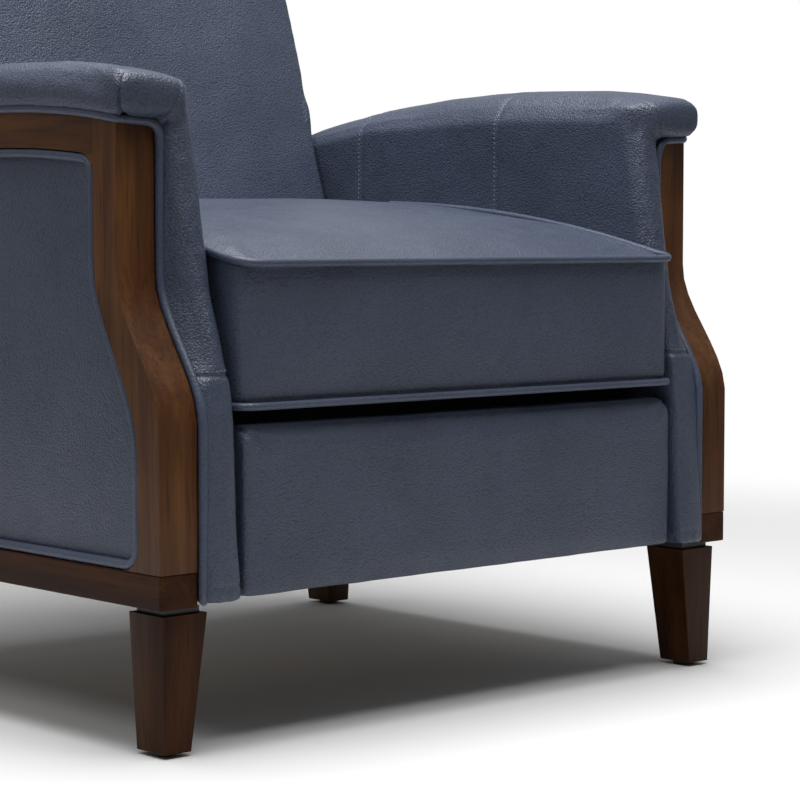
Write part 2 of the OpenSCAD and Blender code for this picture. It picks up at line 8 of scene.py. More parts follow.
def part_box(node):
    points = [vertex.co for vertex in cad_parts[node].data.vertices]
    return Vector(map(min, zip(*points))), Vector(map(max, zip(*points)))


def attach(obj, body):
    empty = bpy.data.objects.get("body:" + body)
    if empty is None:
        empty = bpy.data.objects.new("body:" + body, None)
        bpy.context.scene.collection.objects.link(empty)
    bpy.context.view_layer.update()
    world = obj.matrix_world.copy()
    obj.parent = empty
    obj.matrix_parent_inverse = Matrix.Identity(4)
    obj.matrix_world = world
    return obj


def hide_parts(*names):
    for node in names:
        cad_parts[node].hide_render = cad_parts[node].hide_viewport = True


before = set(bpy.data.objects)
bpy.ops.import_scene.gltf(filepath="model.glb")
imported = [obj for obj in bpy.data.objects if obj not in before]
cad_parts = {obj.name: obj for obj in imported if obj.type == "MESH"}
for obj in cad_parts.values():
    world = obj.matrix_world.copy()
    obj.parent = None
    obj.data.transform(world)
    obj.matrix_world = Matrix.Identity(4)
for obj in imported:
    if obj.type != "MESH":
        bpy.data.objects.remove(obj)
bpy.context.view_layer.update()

MM = 0.001
POST_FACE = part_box("front_post_left")[0].y   # front face of the lower posts
REAR_END = (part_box("rear_post_left")[1].y - POST_FACE) / MM


def at(x, y, z):
    """A point given in mm: x from the middle, y back from the lower post face, z up."""
    return Vector((x * MM, POST_FACE + y * MM, z * MM))


# ---- the chair's own lines, in mm ----
HALF_W = 370            # middle of the chair to the outer face of the wood
WOOD_IN = 329           # to the inner face of the front posts
ARM_IN = 286            # to the inner side of the arm pads
RAIL_TOP = 163          # top of the bottom rail
PANEL_R = 22            # rounded corners of the outer side panel
SWEEP_Z = 290           # where the front post starts to sweep back
PEAK_RAIL_Y, PEAK_RAIL_Z = 250, 568
PEAK_CAP_Y, PEAK_CAP_Z = 270, 611
SEAT_FRONT_Y, BACK_FACE_Y = -5, 538
SEAT_REAR_Z, SEAT_RISE = 494, 62
LEAN = math.radians(17.5)
BACK_LOW, BACK_TOP = -130, 580


def lerp(a, b, t):
    return a + (b - a) * t


def ease(t):
    """0 below 0, 1 above 1, and a smooth rise between them."""
    t = min(1, max(0, t))
    return t * t * (3 - 2 * t)


def post_front(z):
    """How far back the front face of the post stands at height z."""
    return 60 * ease((z - SWEEP_Z) / 132)


def post_back(z):
    """How far back the rear face of the post stands at height z."""
    return 32 + 63 * ease((z - 265) / 165)


def arch(y, peak_y, peak_z, front, rear):
    """Height at y of a line that falls away from its peak by front and rear mm at its ends."""
    if y < peak_y:
        return peak_z - front * ((peak_y - y) / peak_y) ** 2
    return peak_z - rear * ((y - peak_y) / (REAR_END - peak_y)) ** 2


def rail_top(y):
    return arch(y, PEAK_RAIL_Y, PEAK_RAIL_Z, 14 * 1.7, 27)


def rail_low(y):
    return rail_top(y) - 33


def cap_top(y):
    return arch(y, PEAK_CAP_Y, PEAK_CAP_Z, 18.8, 42)


def seat_top(y):
    """Height of the top of the seat: it rises quickly from the front and levels off."""
    to_back = 1 - (y - SEAT_FRONT_Y) / (BACK_FACE_Y - SEAT_FRONT_Y)
    return SEAT_REAR_Z - SEAT_RISE * max(0, to_back) ** 2.4


def on_back(x, n, s):
    """A point on the back: x across, n through it from its front face, s up along it."""
    return at(x, BACK_FACE_Y + s * math.sin(LEAN) + n * math.cos(LEAN),
              495 + s * math.cos(LEAN) - n * math.sin(LEAN))


# ---- materials ----
def linear(hex_code):
    """An sRGB hex colour as linear RGBA."""
    parts = [int(hex_code[i:i + 2], 16) / 255 for i in (1, 3, 5)]
    return [c / 12.92 if c <= 0.04045 else ((c + 0.055) / 1.055) ** 2.4 for c in parts] + [1]


def add(tree, kind, settings=None, links=None):
    """Adds one node: settings are its properties and socket values, links its inputs."""
    node = tree.nodes.new(kind)
    for key, value in (settings or {}).items():
        if isinstance(key, str) and hasattr(node, key):
            setattr(node, key, value)
        else:
            node.inputs[key].default_value = value
    for key, source in (links or {}).items():
        tree.links.new(source, node.inputs[key])
    return node


def start(name):
    """A new material, its tree, its shader and its object coordinates."""
    material = bpy.data.materials.new(name)
    material.use_nodes = True
    tree = material.node_tree
    shader = tree.nodes["Principled BSDF"]
    coords = add(tree, "ShaderNodeTexCoord").outputs["Object"]
    return material, tree, shader, coords


def ramp(tree, source, stops):
    """Colours a value: stops are (value, sRGB hex)."""
    node = add(tree, "ShaderNodeValToRGB", links={"Fac": source})
    elements = node.color_ramp.elements
    while len(elements) < len(stops):
        elements.new(0.5)
    for element, (place, colour) in zip(elements, stops):
        element.position = place
        element.color = linear(colour)
    return node.outputs["Color"]


def pebbled_leather(name, dark, mid, light, grain_mm, grain_depth_mm, rough):
    """Top-grain hide, drum dyed and finished with a satin coat: fine pebbles that catch
    the light on tight curves, a little cloudiness in the dye."""
    material, tree, shader, coords = start(name)
    cell = 1000 / grain_mm
    wander = add(tree, "ShaderNodeTexNoise", {"Scale": cell * 0.45, "Detail": 2}, {"Vector": coords})
    bend = add(tree, "ShaderNodeMix", {"data_type": "RGBA", "Factor": 0.0007 * grain_mm},
               {"A": coords, "B": wander.outputs["Color"]})
    pebbles = add(tree, "ShaderNodeTexVoronoi",
                  {"feature": "SMOOTH_F1", "Scale": cell, "Smoothness": 0.35},
                  {"Vector": bend.outputs["Result"]})
    pores = add(tree, "ShaderNodeTexNoise", {"Scale": cell * 2.6, "Detail": 3, "Roughness": 0.6},
                {"Vector": coords})
    hide = add(tree, "ShaderNodeTexNoise", {"Scale": 9, "Detail": 4, "Roughness": 0.55},
               {"Vector": coords})
    worn = add(tree, "ShaderNodeTexNoise", {"Scale": 42, "Detail": 3}, {"Vector": coords})
    height = add(tree, "ShaderNodeMath", {"operation": "MULTIPLY_ADD", 1: 0.22, 2: 0.0},
                 {0: pores.outputs["Fac"]})
    total = add(tree, "ShaderNodeMath", {"operation": "SUBTRACT"},
                {0: height.outputs[0], 1: pebbles.outputs["Distance"]})
    bump = add(tree, "ShaderNodeBump", {"Strength": 0.8, "Distance": grain_depth_mm * MM},
               {"Height": total.outputs[0]})
    cloud = ramp(tree, hide.outputs["Fac"], [(0.3, dark), (0.52, mid), (0.75, light)])
    valley = ramp(tree, pebbles.outputs["Distance"], [(0.25, "#ffffff"), (0.85, "#c4c4c4")])
    tint = add(tree, "ShaderNodeMix", {"data_type": "RGBA", "blend_type": "MULTIPLY", "Factor": 0.8},
               {"A": cloud, "B": valley})
    gloss = add(tree, "ShaderNodeMapRange", {"From Min": 0.3, "From Max": 0.7,
                "To Min": rough - 0.05, "To Max": rough + 0.06}, {"Value": worn.outputs["Fac"]})
    tree.links.new(tint.outputs["Result"], shader.inputs["Base Color"])
    tree.links.new(gloss.outputs["Result"], shader.inputs["Roughness"])
    tree.links.new(bump.outputs["Normal"], shader.inputs["Normal"])
    shader.inputs["IOR"].default_value = 1.5
    shader.inputs["Specular IOR Level"].default_value = 0.4
    return material


def stained_wood(name, along, dark, mid, light, rough, shine=0.22):
    """Close-grained hardwood, walnut stain under satin lacquer: long soft streaks with the
    grain, short pores, a slight ripple in the lacquer."""
    material, tree, shader, coords = start(name)
    stretch = [14.0, 14.0, 14.0]
    stretch[along] = 0.9
    grain_space = add(tree, "ShaderNodeMapping", {"Scale": stretch}, {"Vector": coords})
    pore_stretch = [420.0, 420.0, 420.0]
    pore_stretch[along] = 16
    pore_space = add(tree, "ShaderNodeMapping", {"Scale": pore_stretch}, {"Vector": coords})
    streaks = add(tree, "ShaderNodeTexNoise",
                  {"Scale": 3.2, "Detail": 6, "Roughness": 0.62, "Distortion": 0.5},
                  {"Vector": grain_space.outputs["Vector"]})
    blotch = add(tree, "ShaderNodeTexNoise", {"Scale": 7, "Detail": 3}, {"Vector": coords})
    pores = add(tree, "ShaderNodeTexNoise", {"Scale": 1.0, "Detail": 2},
                {"Vector": pore_space.outputs["Vector"]})
    body = ramp(tree, streaks.outputs["Fac"], [(0.3, dark), (0.5, mid), (0.72, light)])
    shade = ramp(tree, blotch.outputs["Fac"], [(0.3, "#b8b8b8"), (0.62, "#ffffff")])
    stained = add(tree, "ShaderNodeMix",
                  {"data_type": "RGBA", "blend_type": "MULTIPLY", "Factor": 0.75},
                  {"A": body, "B": shade})
    fleck = ramp(tree, pores.outputs["Fac"], [(0.32, "#8a8078"), (0.46, "#ffffff")])
    flecked = add(tree, "ShaderNodeMix",
                  {"data_type": "RGBA", "blend_type": "MULTIPLY", "Factor": 0.55},
                  {"A": stained.outputs["Result"], "B": fleck})
    bump = add(tree, "ShaderNodeBump", {"Strength": 0.25, "Distance": 0.0002},
               {"Height": pores.outputs["Fac"]})
    gloss = add(tree, "ShaderNodeMapRange", {"From Min": 0.3, "From Max": 0.7,
                "To Min": rough - 0.06, "To Max": rough + 0.08}, {"Value": blotch.outputs["Fac"]})
    tree.links.new(flecked.outputs["Result"], shader.inputs["Base Color"])
    tree.links.new(gloss.outputs["Result"], shader.inputs["Roughness"])
    tree.links.new(bump.outputs["Normal"], shader.inputs["Normal"])
    shader.inputs["Specular IOR Level"].default_value = shine
    shader.inputs["Coat Weight"].default_value = shine * 0.35
    shader.inputs["Coat Roughness"].default_value = 0.25
    return material


def plain_finish(name, dark, light, scale, rough, metallic=0.0, depth_mm=0.1, stretch=(1, 1, 1)):
    """A finish of one colour, mottled between two close tones, with a matching texture."""
    material, tree, shader, coords = start(name)
    space = add(tree, "ShaderNodeMapping", {"Scale": stretch}, {"Vector": coords})
    mottle = add(tree, "ShaderNodeTexNoise", {"Scale": scale, "Detail": 4, "Roughness": 0.6},
                 {"Vector": space.outputs["Vector"]})
    colour = ramp(tree, mottle.outputs["Fac"], [(0.35, dark), (0.65, light)])
    gloss = add(tree, "ShaderNodeMapRange", {"From Min": 0.3, "From Max": 0.7,
                "To Min": rough - 0.06, "To Max": rough + 0.06}, {"Value": mottle.outputs["Fac"]})
    bump = add(tree, "ShaderNodeBump", {"Strength": 0.4, "Distance": depth_mm * MM},
               {"Height": mottle.outputs["Fac"]})
    tree.links.new(colour, shader.inputs["Base Color"])
    tree.links.new(gloss.outputs["Result"], shader.inputs["Roughness"])
    tree.links.new(bump.outputs["Normal"], shader.inputs["Normal"])
    shader.inputs["Metallic"].default_value = metallic
    return material


def woven_webbing(name, dark, light, thread_mm):
    """Elastic furniture webbing: a coarse plain weave with coloured edge stripes left off."""
    material, tree, shader, coords = start(name)
    waves = []
    for direction in ("X", "Y"):
        wave = add(tree, "ShaderNodeTexWave", {"wave_type": "BANDS", "bands_direction": direction,
                   "Scale": 1000 / thread_mm / 20, "Distortion": 0.4, "Detail": 1}, {"Vector": coords})
        waves.append(wave.outputs["Fac"])
    weave = add(tree, "ShaderNodeMath", {"operation": "MAXIMUM"}, {0: waves[0], 1: waves[1]})
    colour = ramp(tree, weave.outputs[0], [(0.2, dark), (0.8, light)])
    bump = add(tree, "ShaderNodeBump", {"Strength": 0.6, "Distance": 0.0006},
               {"Height": weave.outputs[0]})
    tree.links.new(colour, shader.inputs["Base Color"])
    tree.links.new(bump.outputs["Normal"], shader.inputs["Normal"])
    shader.inputs["Roughness"].default_value = 0.85
    return material


# upholstery hide, slate blue: fine pebbles and a soft satin shine over every pad
leather = pebbled_leather("slate_blue_leather", "#3c4455", "#41495b", "#464e60", 1.9, 0.8, 0.38)
# the same hide skived thin round the piping cord: smoother, and a little lighter as a painted
# highlight, so edges read
welt_leather_painted_highlight = pebbled_leather("slate_blue_welt_leather_painted_highlight", "#3e4658", "#444c60", "#4a5266",
                               1.6, 0.35, 0.4)
# walnut-stained frame, grain up the posts: warm brown streaks that follow the sweep
wood_upright = stained_wood("walnut_stained_upright", 2, "#3c210f", "#4f2f16", "#634120", 0.38)
# the same wood along the arched top rail: its streaks run front to back
wood_along = stained_wood("walnut_stained_rail", 1, "#3c210f", "#502f14", "#64401e", 0.38)
# the bottom rail: the walnut stain painted darker as shade near the floor, and a duller lacquer
wood_low_painted_shade = stained_wood("walnut_bottom_rail_painted_shade", 1, "#28140a", "#371c0a", "#46280f", 0.42, 0.08)
# the same stain painted darker as shade, with the grain down the tapered legs
wood_leg_painted_shade = stained_wood("walnut_leg_painted_shade", 2, "#28150a", "#381e0b", "#462a10", 0.42, 0.08)
# the same stain painted darker as shade, across the rear rail
wood_cross_painted_shade = stained_wood("walnut_cross_rail_painted_shade", 0, "#28140a", "#371c0a", "#46280f", 0.42, 0.08)
# bare birch plywood in the seat and back frames: pale yellow with faint bands
plywood = plain_finish("birch_plywood", "#b08a5c", "#c9a878", 40, 0.6, depth_mm=0.15,
                       stretch=(1, 0.1, 1))
# planed pine cross members: warmer and a little lighter than the plywood
pine = plain_finish("planed_pine", "#bb9460", "#d2b282", 34, 0.55, depth_mm=0.15,
                    stretch=(0.1, 1, 1))
# black powder coat on links, plates and tubes: a fine orange-peel satin
black_steel = plain_finish("black_powder_coat", "#17181a", "#202124", 900, 0.42, depth_mm=0.05)
# bright zinc plate on runners and screws: a small cold glint in the mechanism
zinc = plain_finish("bright_zinc_plate", "#9a9da1", "#b9bcc0", 120, 0.34, metallic=1.0, depth_mm=0.02)
# moulded black nylon glides: a dull dark line where the legs meet the floor
nylon = plain_finish("black_nylon", "#0f0f10", "#191919", 400, 0.6, depth_mm=0.03)
# elastic webbing under the seat: a coarse grey-brown weave
webbing = woven_webbing("elastic_webbing", "#2b2724", "#5a524a", 2.5)
# black cloth over cores and undersides: painted shade, it keeps the gaps dark where bare wood would
# show
painted_shade_cloth = plain_finish("black_painted_shade_cloth", "#08080a", "#0e0e11", 700, 0.85, depth_mm=0.05)
# polyester thread a shade lighter than the hide, so the stitch rows show
thread = plain_finish("polyester_thread", "#5f6879", "#747e90", 1500, 0.6, depth_mm=0.05)


# ---- making pieces ----
def piece(bm, name, material, body, smooth_angle=None):
    """Turns a bmesh into an object that rides on a body."""
    mesh = bpy.data.meshes.new(name)
    bm.to_mesh(mesh)
    bm.free()
    for polygon in mesh.polygons:
        polygon.use_smooth = True
    if smooth_angle is not None:
        mesh.set_sharp_from_angle(angle=math.radians(smooth_angle))
    obj = bpy.data.objects.new(name, mesh)
    bpy.context.scene.collection.objects.link(obj)
    obj.data.materials.append(material)
    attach(obj, body)
    return obj


def loose(bm, name):
    """An object of a bmesh that rides on nothing yet."""
    mesh = bpy.data.meshes.new(name)
    bm.to_mesh(mesh)
    bm.free()
    obj = bpy.data.objects.new(name, mesh)
    bpy.context.scene.collection.objects.link(obj)
    return obj


def merged_copy(node):
    """A bmesh of a CAD part with its flat faces joined up."""
    bm = bmesh.new()
    bm.from_mesh(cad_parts[node].data)
    bmesh.ops.remove_doubles(bm, verts=bm.verts, dist=1e-5)
    bmesh.ops.dissolve_limit(bm, angle_limit=math.radians(0.6), verts=bm.verts, edges=bm.edges)
    return bm


def eased(node, radius, material, body="base"):
    """A wooden part with its arrises eased by that many mm."""
    bm = merged_copy(node)
    edges = [e for e in bm.edges if len(e.link_faces) == 2 and e.calc_face_angle() > math.radians(35)]
    bmesh.ops.bevel(bm, geom=edges, offset=radius * MM, offset_type="OFFSET", segments=3, profile=0.5,
                    affect="EDGES", material=-1, clamp_overlap=True)
    obj = piece(bm, node + "_eased", material, body, 14)
    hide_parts(node)
    return obj


def remeshed(obj, voxel):
    """The object's surface again, in even small squares."""
    bpy.context.view_layer.objects.active = obj
    obj.data.remesh_voxel_size = voxel * MM
    obj.data.use_remesh_fix_poles = False
    with bpy.context.temp_override(active_object=obj, object=obj, selected_objects=[obj]):
        bpy.ops.object.voxel_remesh()
    return obj


def offset(obj, distance):
    """Moves every vertex out along its normal, by mm."""
    mesh = obj.data
    moved = [v.co + v.normal * distance * MM for v in mesh.vertices]
    for v, place in zip(mesh.vertices, moved):
        v.co = place


def settled(obj, passes, factor=0.5):
    """Evens the surface out by that many smoothing passes."""
    bm = bmesh.new()
    bm.from_mesh(obj.data)
    for _ in range(passes):
        bmesh.ops.smooth_vert(bm, verts=bm.verts, factor=factor, use_axis_x=True, use_axis_y=True,
                              use_axis_z=True)
    bm.to_mesh(obj.data)
    bm.free()


def inflated(obj, pressure, cap, held, stiffness=15, frames=20):
    """Fills a closed cover with air as cloth, keeping what held() says and moving at most cap mm."""
    scene = bpy.context.scene
    group = obj.vertex_groups.new(name="held")
    before = [v.co.copy() for v in obj.data.vertices]
    for v in obj.data.vertices:
        weight = held(v)
        if weight > 0:
            group.add([v.index], weight, "REPLACE")
    cloth = obj.modifiers.new("cover", "CLOTH")
    cloth.settings.quality = 4
    cloth.settings.mass = 0.3
    cloth.settings.tension_stiffness = stiffness
    cloth.settings.compression_stiffness = stiffness
    cloth.settings.shear_stiffness = 5
    cloth.settings.bending_stiffness = 0.4
    cloth.settings.use_pressure = True
    cloth.settings.uniform_pressure_force = pressure
    cloth.settings.effector_weights.gravity = 0
    cloth.settings.vertex_group_mass = "held"
    cloth.point_cache.frame_start = 1
    cloth.point_cache.frame_end = frames
    for number in range(1, frames + 1):
        scene.frame_set(number)
    evaluated = obj.evaluated_get(bpy.context.evaluated_depsgraph_get())
    after = [v.co.copy() for v in evaluated.data.vertices]
    obj.modifiers.remove(cloth)
    scene.frame_set(1)
    for v, old, new in zip(obj.data.vertices, before, after):
        step = new - old
        if step.length > cap * MM:
            step = step.normalized() * cap * MM
        v.co = old + step
    obj.vertex_groups.clear()


def subdivided(obj):
    """One subdivision, applied."""
    modifier = obj.modifiers.new("round", "SUBSURF")
    modifier.levels = modifier.render_levels = 1
    evaluated = obj.evaluated_get(bpy.context.evaluated_depsgraph_get())
    mesh = bpy.data.meshes.new_from_object(evaluated)
    obj.modifiers.remove(modifier)
    old = obj.data
    obj.data = mesh
    bpy.data.meshes.remove(old)
    return obj


def moved(obj, change):
    """Moves each vertex by change(place in mm, normal) mm."""
    steps = []
    for v in obj.data.vertices:
        place = Vector((v.co.x / MM, (v.co.y - POST_FACE) / MM, v.co.z / MM))
        steps.append(change(place, v.normal.copy()))
    for v, step in zip(obj.data.vertices, steps):
        v.co += step * MM


def finished(obj, name, body, nodes, material=None):
    """Names a piece, gives it its material and body, and says which CAD parts it replaces."""
    obj.name = name
    obj.data.name = name
    for polygon in obj.data.polygons:
        polygon.use_smooth = True
    obj.data.materials.clear()
    obj.data.materials.append(material or leather)
    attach(obj, body)
    if nodes:
        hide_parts(*nodes)
    return obj


def mirrored(obj, name):
    """The same thing for the other side of the chair."""
    bm = bmesh.new()
    bm.from_mesh(obj.data)
    bmesh.ops.scale(bm, vec=(-1, 1, 1), verts=bm.verts)
    bmesh.ops.reverse_faces(bm, faces=bm.faces)
    return loose(bm, name)


def loft(bm, sections, ends=True):
    """Bridges rings of points, given in metres, into one closed shape."""
    rings = []
    for points in sections:
        made = bmesh.ops.create_circle(bm, cap_ends=False, segments=len(points), radius=MM)
        for v, place in zip(made["verts"], points):
            v.co = place
        rings.append(made["verts"])
    for near, far in zip(rings, rings[1:]):
        edges = [e for ring in (near, far) for i in range(len(ring))
                 for e in [bm.edges.get((ring[i], ring[i - 1]))] if e]
        bmesh.ops.bridge_loops(bm, edges=edges)
    if ends:
        for ring in (rings[0], rings[-1]):
            bm.faces.new(ring)
    bmesh.ops.recalc_face_normals(bm, faces=bm.faces)


def smooth_line(points, step=5.0):
    """A smooth line through the points, with a point every step mm or so."""
    line = []
    for i in range(len(points) - 1):
        p0 = points[max(i - 1, 0)]
        p1, p2 = points[i], points[i + 1]
        p3 = points[min(i + 2, len(points) - 1)]
        count = max(1, int((p2 - p1).length / MM / step))
        for k in range(count):
            t = k / count
            line.append(0.5 * ((2 * p1) + (p2 - p0) * t + (2 * p0 - 5 * p1 + 4 * p2 - p3) * t * t
                               + (3 * p1 - p0 - 3 * p2 + p3) * t ** 3))
    line.append(points[-1].copy())
    return line


def tube_mesh(name, line, radius, closed=False):
    """A round tube of that radius in mm along a line, as an object that rides on nothing."""
    curve = bpy.data.curves.new(name, "CURVE")
    curve.dimensions = "3D"
    curve.bevel_depth = radius * MM
    curve.bevel_resolution = 3
    curve.use_fill_caps = not closed
    spline = curve.splines.new("POLY")
    spline.points.add(len(line) - 1)
    for point, place in zip(spline.points, line):
        point.co = (*place, 1)
    spline.use_cyclic_u = closed
    obj = bpy.data.objects.new(name, curve)
    bpy.context.scene.collection.objects.link(obj)
    bpy.context.view_layer.update()
    mesh = bpy.data.meshes.new_from_object(obj.evaluated_get(bpy.context.evaluated_depsgraph_get()))
    bpy.data.objects.remove(obj)
    bpy.data.curves.remove(curve)
    made = bpy.data.objects.new(name, mesh)
    bpy.context.scene.collection.objects.link(made)
    return made


def welt(name, line, radius, body, closed=False):
    """A piping cord covered in hide, along a line."""
    made = tube_mesh(name, line, radius, closed)
    return finished(made, name, body, (), welt_leather_painted_highlight)


def welt_pair(name, line, radius, body):
    """A welt on the sitter's left arm side and its mirror on the right."""
    left = tube_mesh(name + "_left", line, radius)
    right = mirrored(left, name + "_right")
    finished(left, name + "_left", body, (), welt_leather_painted_highlight)
    finished(right, name + "_right", body, (), welt_leather_painted_highlight)


def stitch_row(bm, tree, line, pitch=5.2, length=3.6, radius=0.5):
    """Thread stitches along a line, laid on the surface that tree holds."""
    travelled, due = 0.0, 0.0
    for a, b in zip(line, line[1:]):
        along = (b - a)
        distance = along.length / MM
        if distance < 1e-6:
            continue
        while due <= travelled + distance:
            place = a + along * ((due - travelled) / distance)
            hit, normal, _, _ = tree.find_nearest(place)
            if hit:
                direction = (along - normal * along.dot(normal)).normalized()
                side = normal.cross(direction)
                basis = Matrix((direction, side, normal)).transposed().to_4x4()
                basis.translation = hit + normal * radius * 0.35 * MM
                size = Matrix.Diagonal((length / 2 * MM, radius * MM, radius * 0.8 * MM, 1))
                bmesh.ops.create_icosphere(bm, subdivisions=1, radius=1, matrix=basis @ size)
            due += pitch
        travelled += distance


def surface_of(obj):
    """A search tree of an object's surface, for laying thread on it."""
    bm = bmesh.new()
    bm.from_mesh(obj.data)
    tree = BVHTree.FromBMesh(bm)
    bm.free()
    return tree


def ripple(place, size, amount, seed=0):
    """A gentle unevenness, in mm, with lumps of about that size in mm."""
    return amount * noise.noise(Vector((place.x / size + seed, place.y / size, place.z / size)))


# ---- wood ----
for side in ("left", "right"):
    eased("front_post_" + side, 1.6, wood_upright)
    eased("rear_post_" + side, 1.6, wood_upright)
    eased("top_rail_" + side, 1.6, wood_along)
    eased("bottom_rail_" + side, 1.6, wood_low_painted_shade)
    eased("leg_front_" + side, 1.8, wood_leg_painted_shade)
    eased("leg_rear_" + side, 1.8, wood_leg_painted_shade)

# ---- arms ----
NOSE_IN = 293
NOSE_R = 25


def leather_front(z):
    """How far back the padded front of the arm stands at height z."""
    return lerp(-14 + 0.055 * (z - 137), 26.7 + 0.185 * (z - 442), ease((z - 265) / 150))


def arm_top_section(y, turn=0.0):
    """Across the arm top at y. turn goes from 0 to a quarter circle round the rounded front."""
    crown = cap_top(max(y, 66))
    middle = crown - 21
    fold = math.cos(turn) ** 0.6
    peak = middle + 21 * fold
    low = lerp(middle, rail_top(max(y, 45)) + 2, fold)
    front_end = 1 - ease((y - 60) / 38)
    x_in = lerp(ARM_IN + 1, NOSE_IN, front_end) + 22 * (1 - math.cos(turn))
    x_out = 379 - 4 * (1 - math.cos(turn))
    height = peak - low
    r_in, r_out = min(lerp(38, 9, front_end), height * 0.48), min(15, height * 0.4)
    foot_r = min(lerp(9, 22, front_end), height * 0.48)
    points = []

    def leaning(x):
        """The arm top stands a little higher at its outer edge."""
        return lerp(-6, 2.5, max(0, (x - x_in) / (x_out - x_in)) ** 0.8) * fold

    for k in range(9):
        a = math.pi - k / 8 * math.pi / 2
        x = x_in + r_in + r_in * math.cos(a)
        points.append((x, peak - r_in + r_in * math.sin(a) + leaning(x)))
    for k in range(1, 6):
        t = k / 6
        x = lerp(x_in + r_in, x_out - r_out, t)
        points.append((x, peak + 1.5 * math.sin(math.pi * t) + leaning(x)))
    for k in range(7):
        a = (1 - k / 6) * math.pi / 2
        x = x_out - r_out + r_out * math.cos(a)
        points.append((x, peak - r_out + r_out * math.sin(a) + leaning(x)))
    heel = min(9, height * 0.3)
    for k in range(1, 6):
        a = -k / 5 * math.pi / 2
        points.append((x_out - heel + heel * math.cos(a), low + heel + heel * math.sin(a)))
    for k in range(1, 5):
        points.append((lerp(x_out - heel, x_in + foot_r, k / 5), low - 2 * math.sin(math.pi * k / 5)))
    for k in range(6):
        a = -math.pi / 2 - k / 5 * math.pi / 2 * 0.98
        points.append((x_in + foot_r + foot_r * math.cos(a), low + foot_r + foot_r * math.sin(a)))
    return [at(x, y, z) for x, z in points]


def roll_section(z, inset=0.0, rear=None):
    """Around the padded front of the arm, and the inner pad behind it, at height z."""
    low_part = 1 - ease((z - 322) / 20)
    inner = ARM_IN + 0.6 + inset
    r = max(3, lerp(15, 8, low_part) - inset)
    front = leather_front(z) + inset
    outer, wood = WOOD_IN - 1.5 - inset, post_front(z) + 1 + inset
    flat = max(inner + r, lerp(304, 316, low_part) - inset * 0.5)
    bow = lerp(1.5, 1, low_part)
    rear = (REAR_END - 2 if rear is None else rear) - inset
    hidden = WOOD_IN - 15 - inset
    points = [(inner, lerp(rear, front + r, k / 10)) for k in range(10)]
    for k in range(9):
        a = math.pi + k / 8 * math.pi / 2
        points.append((inner + r + r * math.cos(a), front + r + r * math.sin(a)))
    for k in range(1, 9):
        a = k / 8 * math.pi / 2
        points.append((flat + (outer - flat) * math.sin(a) ** bow,
                       wood + (front - wood) * max(0, math.cos(a)) ** bow))
    points.append((outer, wood + 20))
    points.append((hidden, wood + 34))
    points += [(hidden, lerp(wood + 34, rear, k / 8)) for k in range(1, 9)]
    return [at(x, y, min(z, cap_top(max(y, 66)) - 9)) for x, y in points]


def dome(t, radius):
    """How far a round edge of that radius has fallen in at t, from 0 to 1 round it."""
    return radius * (1 - math.sqrt(max(0, 1 - t * t)))


SEAM_Z = 333
arm_shape = bmesh.new()
loft(arm_shape,
     [arm_top_section(REAR_END - 1 - (REAR_END - 67) * k / 30) for k in range(31)]
     + [arm_top_section(66 - NOSE_R * math.sin(k / 8 * 1.45), k / 8 * 1.45) for k in range(1, 9)])
loft(arm_shape,
     [roll_section(lerp(SEAM_Z - 2, 586, k / 27)) for k in range(28)]
     + [roll_section(586 + 9 * t, dome(t, 8)) for t in (0.5, 0.8, 0.95)])
loft(arm_shape,
     [roll_section(134, 3, 46), roll_section(134.8, 1, 46), roll_section(138, 0, 46)]
     + [roll_section(lerp(140, SEAM_Z + 4, k / 20), 0, 46) for k in range(1, 21)])
inner_pad = bmesh.ops.create_cube(arm_shape, size=1)["verts"]
pad_low, pad_high = at(ARM_IN + 2, 36, 266), at(WOOD_IN - 15, REAR_END - 4, SEAM_Z + 6)
for v in inner_pad:
    v.co = Vector([lo if c < 0 else hi for c, lo, hi in zip(v.co, pad_low, pad_high)])
arm_cover = remeshed(loose(arm_shape, "arm_cover_left"), 3.9)
settled(arm_cover, 3)
offset(arm_cover, -1.6)


def arm_held(v):
    """Holds the cover where it is tacked: beside the wood, under the cap and at the back."""
    x, y, z = abs(v.co.x) / MM, (v.co.y - POST_FACE) / MM, v.co.z / MM
    if x > WOOD_IN - 8 and z < rail_top(y) + 8:
        return 1.0
    if z < 150 or y > REAR_END - 12 or abs(z - SEAM_Z) < 6:
        return 1.0
    if x > 300 and z < rail_top(y) + 8 and y > 62:
        return 1.0
    return 0.0


inflated(arm_cover, 3.0, 3.0, arm_held, stiffness=12, frames=12)
settled(arm_cover, 1)
subdivided(arm_cover)
SEAM_Y = (258, 484)       # the two seams across the inner arm panel
STITCH_SHIFT = 4.2        # the stitch row lies beside its seam


def groove(distance, width):
    """1 in the middle of a groove and falling off over about its width."""
    return math.exp(-(distance / width) ** 2)


def arm_dressed(place, normal):
    """Pulls in the stitched seams and the fold on the nose, and gives the hide its slack."""
    push = 0.0
    for seam in SEAM_Y:
        push -= 1.3 * groove(place.y - seam, 2.4) - 0.5 * groove(abs(place.y - seam) - 11, 7)
    if place.y < 75 and place.z < 420:
        push -= 1.5 * groove(place.z - SEAM_Z, 2.2)
        push += 0.6 * groove(place.z - 143, 6) * math.sin(place.x * 0.55)
        push -= 0.8 * groove(place.z - 149, 2.4)
    if place.z > 556 and place.x > 345 and place.y < 64:
        across = (place.y - 49) + (place.x - 374) * 0.6
        deep = ease((600 - place.z) / 12)
        push -= deep * 4.6 * groove(across, 2.1)
    if place.x < 330 and place.z > 552 and place.y < 76:
        across = place.x - lerp(320, 306, ease((place.z - 556) / 40))
        push -= 2.0 * groove(across, 2.4) * ease((598 - place.z) / 10)
    push += ripple(place, 60, 0.8) + ripple(place, 24, 0.3, 7)
    return normal * push


